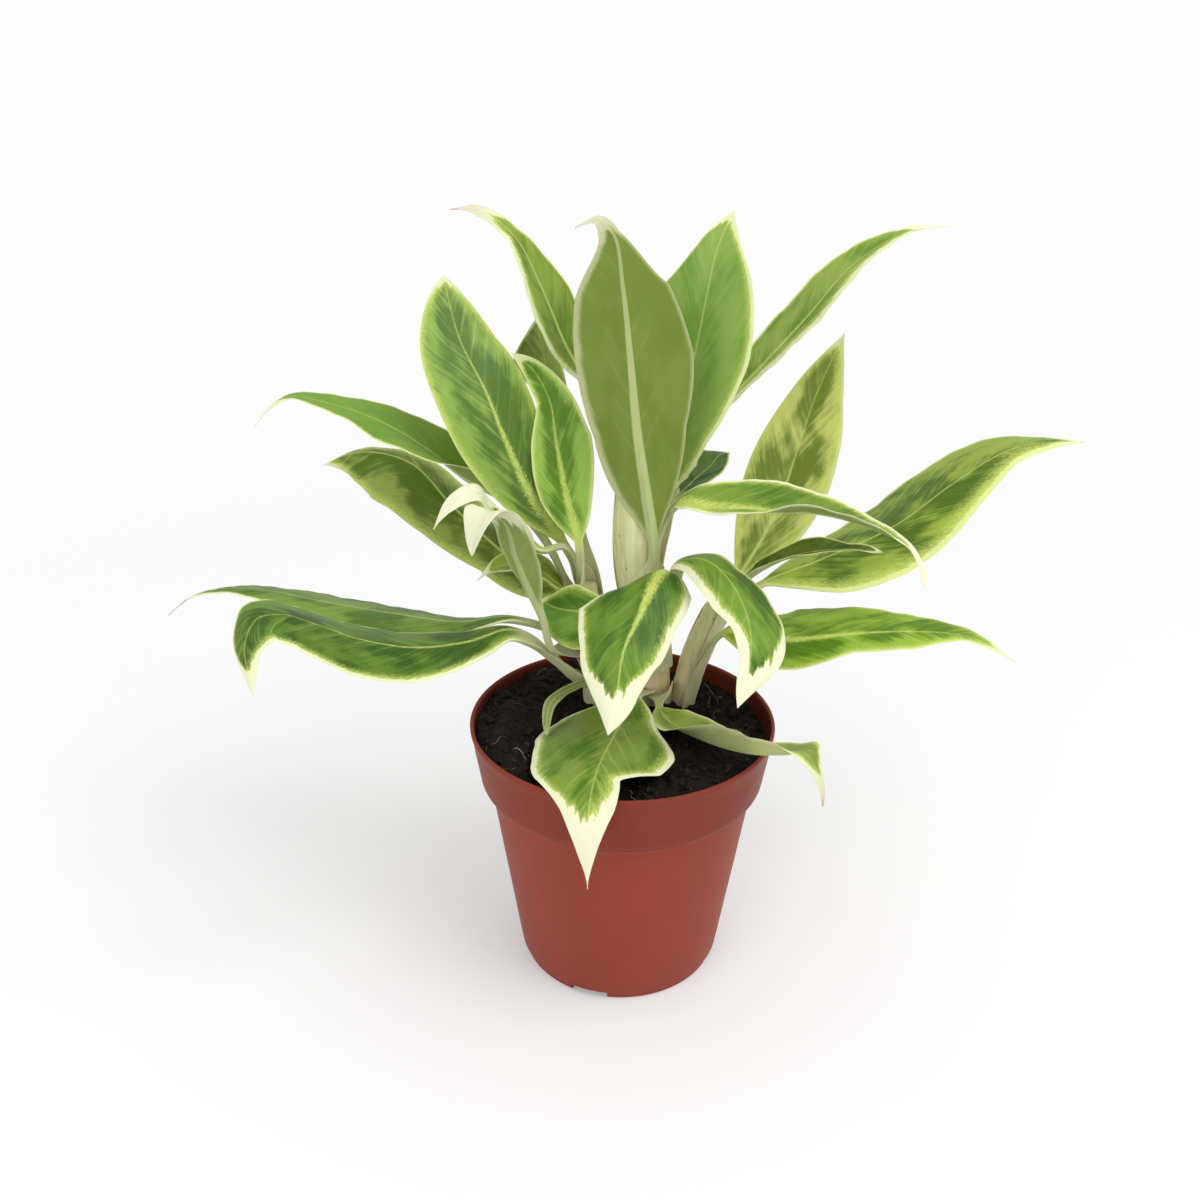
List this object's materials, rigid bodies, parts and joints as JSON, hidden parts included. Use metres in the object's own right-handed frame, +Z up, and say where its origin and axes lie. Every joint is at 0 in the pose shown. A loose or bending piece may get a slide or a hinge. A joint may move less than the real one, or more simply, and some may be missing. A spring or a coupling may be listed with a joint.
{
  "type": "potted chinese evergreen",
  "caption": "Chinese evergreen houseplant with cream-edged green leaves on short canes, growing in peat in a tapered terracotta-coloured plastic nursery pot.",
  "frame": {"origin": "centre of the pot's underside, at the level of the surface it stands on", "axes": "+Z up through the pot, -Y towards the front of the plant, +X to the plant's right as seen from the front"},
  "size_m": [0.382, 0.182, 0.2934],
  "materials": {
    "pot": "satin",
    "soil": "matte",
    "cane": "satin",
    "leaf": "satin"
  },
  "bodies": {
    "root": {"pot": "pot", "soil": "soil", "main_cane": "cane", "left_cane": "cane", "right_cane": "cane", "main_leaf_01": "leaf", "main_leaf_02": "leaf", "main_leaf_03": "leaf", "main_leaf_04": "leaf", "main_leaf_05": "leaf", "main_leaf_06": "leaf", "main_leaf_07": "leaf", "main_leaf_08": "leaf", "main_leaf_09": "leaf", "main_leaf_10": "leaf", "right_leaf_01": "leaf", "right_leaf_02": "leaf", "right_leaf_03": "leaf", "right_leaf_04": "leaf", "left_leaf_01": "leaf", "left_leaf_02": "leaf", "left_leaf_03": "leaf", "left_leaf_04": "leaf", "left_leaf_05": "leaf", "left_leaf_06": "leaf", "left_leaf_07": "leaf", "left_leaf_08": "leaf", "left_leaf_09": "leaf", "left_leaf_10": "leaf", "left_leaf_11": "leaf", "left_leaf_12": "leaf"}
  },
  "joints": []
}
